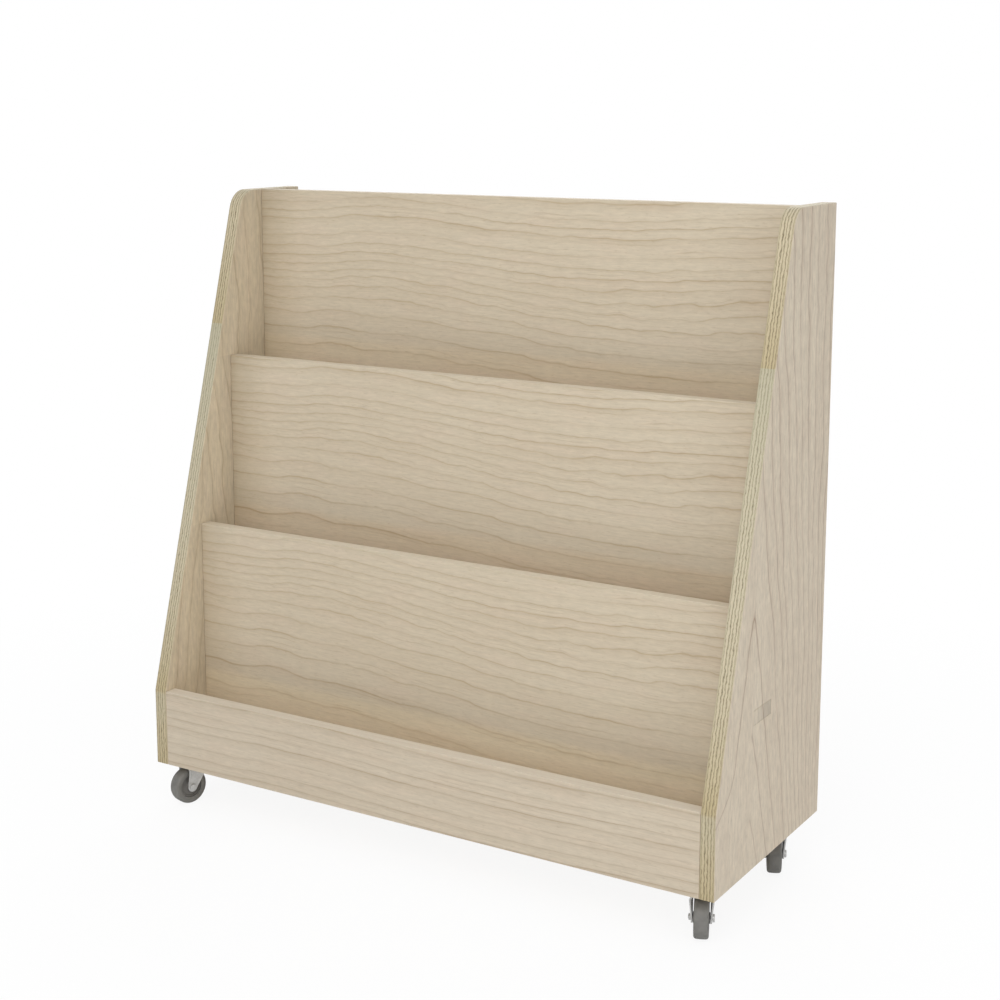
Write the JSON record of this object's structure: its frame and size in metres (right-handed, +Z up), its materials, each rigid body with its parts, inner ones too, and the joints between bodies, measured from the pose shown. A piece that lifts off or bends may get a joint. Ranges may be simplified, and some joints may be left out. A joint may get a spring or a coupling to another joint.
{
  "type": "double-sided bookcase",
  "caption": "Low mobile plywood bookcase: stepped face-out display pockets on the front, open shelves on the back, shaped sides, swivel casters underneath.",
  "frame": {"origin": "on the floor under the centre of the carcass", "axes": "+X to the right seen from the stepped front, +Y from the stepped front to the open back, +Z up"},
  "size_m": [0.8, 0.304, 0.8015],
  "materials": {
    "maple_plywood": "clear satin lacquer on pale maple-faced plywood",
    "zinc_plated_steel": "bright zinc plate on pressed steel",
    "bright_steel": "plain turned steel",
    "grey_plastic": "moulded grey plastic",
    "grey_rubber": "grey non-marking rubber"
  },
  "bodies": {
    "carcass": {"left_side_panel": "maple_plywood", "right_side_panel": "maple_plywood", "front_lip": "maple_plywood", "base_panel": "maple_plywood", "lower_display_panel": "maple_plywood", "middle_display_panel": "maple_plywood", "upper_display_panel": "maple_plywood", "lower_shelf": "maple_plywood", "upper_shelf": "maple_plywood", "front_left_caster_plate": "zinc_plated_steel", "front_left_king_pin": "bright_steel", "front_left_ball_ring": "bright_steel", "front_left_plate_screw_1": "bright_steel", "front_left_plate_screw_2": "bright_steel", "front_left_plate_screw_3": "bright_steel", "front_left_plate_screw_4": "bright_steel", "front_right_caster_plate": "zinc_plated_steel", "front_right_king_pin": "bright_steel", "front_right_ball_ring": "bright_steel", "front_right_plate_screw_1": "bright_steel", "front_right_plate_screw_2": "bright_steel", "front_right_plate_screw_3": "bright_steel", "front_right_plate_screw_4": "bright_steel", "rear_left_caster_plate": "zinc_plated_steel", "rear_left_king_pin": "bright_steel", "rear_left_ball_ring": "bright_steel", "rear_left_plate_screw_1": "bright_steel", "rear_left_plate_screw_2": "bright_steel", "rear_left_plate_screw_3": "bright_steel", "rear_left_plate_screw_4": "bright_steel", "rear_right_caster_plate": "zinc_plated_steel", "rear_right_king_pin": "bright_steel", "rear_right_ball_ring": "bright_steel", "rear_right_plate_screw_1": "bright_steel", "rear_right_plate_screw_2": "bright_steel", "rear_right_plate_screw_3": "bright_steel", "rear_right_plate_screw_4": "bright_steel"},
    "front_left_caster": {"front_left_fork": "zinc_plated_steel", "front_left_axle_bolt": "bright_steel", "front_left_axle_nut": "bright_steel"},
    "front_left_wheel": {"front_left_wheel_core": "grey_plastic", "front_left_tyre": "grey_rubber"},
    "front_right_caster": {"front_right_fork": "zinc_plated_steel", "front_right_axle_bolt": "bright_steel", "front_right_axle_nut": "bright_steel"},
    "front_right_wheel": {"front_right_wheel_core": "grey_plastic", "front_right_tyre": "grey_rubber"},
    "rear_left_caster": {"rear_left_fork": "zinc_plated_steel", "rear_left_axle_bolt": "bright_steel", "rear_left_axle_nut": "bright_steel"},
    "rear_left_wheel": {"rear_left_wheel_core": "grey_plastic", "rear_left_tyre": "grey_rubber"},
    "rear_right_caster": {"rear_right_fork": "zinc_plated_steel", "rear_right_axle_bolt": "bright_steel", "rear_right_axle_nut": "bright_steel"},
    "rear_right_wheel": {"rear_right_wheel_core": "grey_plastic", "rear_right_tyre": "grey_rubber"}
  },
  "joints": [
    {"name": "front_left_swivel", "type": "hinge", "parent": "carcass", "child": "front_left_caster", "pos_m": [-0.3625, -0.099, 0.05], "axis": [0, 0, 1], "continuous": true},
    {"name": "front_left_roll", "type": "hinge", "parent": "front_left_caster", "child": "front_left_wheel", "pos_m": [-0.37069, -0.12578, 0.0235], "axis": [0.9563, -0.2924, 0], "continuous": true},
    {"name": "front_right_swivel", "type": "hinge", "parent": "carcass", "child": "front_right_caster", "pos_m": [0.3625, -0.099, 0.05], "axis": [0, 0, 1], "continuous": true},
    {"name": "front_right_roll", "type": "hinge", "parent": "front_right_caster", "child": "front_right_wheel", "pos_m": [0.37344, -0.12477, 0.0235], "axis": [0.9205, 0.3907, 0], "continuous": true},
    {"name": "rear_left_swivel", "type": "hinge", "parent": "carcass", "child": "rear_left_caster", "pos_m": [-0.3625, 0.1055, 0.05], "axis": [0, 0, 1], "continuous": true},
    {"name": "rear_left_roll", "type": "hinge", "parent": "rear_left_caster", "child": "rear_left_wheel", "pos_m": [-0.3586, 0.07777, 0.0235], "axis": [0.9903, 0.1392, 0], "continuous": true},
    {"name": "rear_right_swivel", "type": "hinge", "parent": "carcass", "child": "rear_right_caster", "pos_m": [0.3625, 0.1055, 0.05], "axis": [0, 0, 1], "continuous": true},
    {"name": "rear_right_roll", "type": "hinge", "parent": "rear_right_caster", "child": "rear_right_wheel", "pos_m": [0.37433, 0.08012, 0.0235], "axis": [0.9063, 0.4226, 0], "continuous": true}
  ]
}
